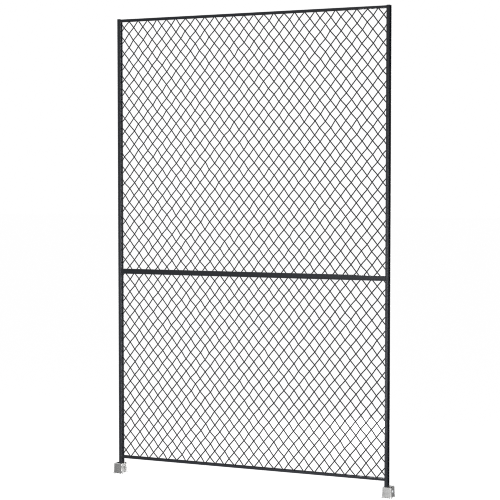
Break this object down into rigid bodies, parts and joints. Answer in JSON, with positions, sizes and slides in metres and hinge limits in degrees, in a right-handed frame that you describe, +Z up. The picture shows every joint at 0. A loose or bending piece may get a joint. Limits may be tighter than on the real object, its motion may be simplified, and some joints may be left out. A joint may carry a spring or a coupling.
{
  "type": "wire mesh panel",
  "caption": "Framed diamond wire mesh panel with lipped channel posts, channel rails, a middle rail and cast floor shoes, for guarding machines or enclosing an area.",
  "frame": {"origin": "on the floor under the left shoe, below the outer face of the left post, midway through the panel's thickness", "axes": "+Z up, +X along the panel towards the right post, +Y towards the back of the panel"},
  "size_m": [1.5779, 0.0644, 2.4448],
  "materials": {
    "frame_paint": "satin",
    "mesh_paint": "satin",
    "shoe_casting": "matte"
  },
  "bodies": {
    "root": {"left_post": "frame_paint", "right_post": "frame_paint", "top_rail": "frame_paint", "bottom_rail": "frame_paint", "mid_rail_front": "frame_paint", "mid_rail_back": "frame_paint", "upper_mesh_left": "mesh_paint", "upper_mesh_middle": "mesh_paint", "upper_mesh_right": "mesh_paint", "lower_mesh_left": "mesh_paint", "lower_mesh_middle": "mesh_paint", "lower_mesh_right": "mesh_paint", "left_floor_shoe": "shoe_casting", "right_floor_shoe": "shoe_casting"}
  },
  "joints": []
}
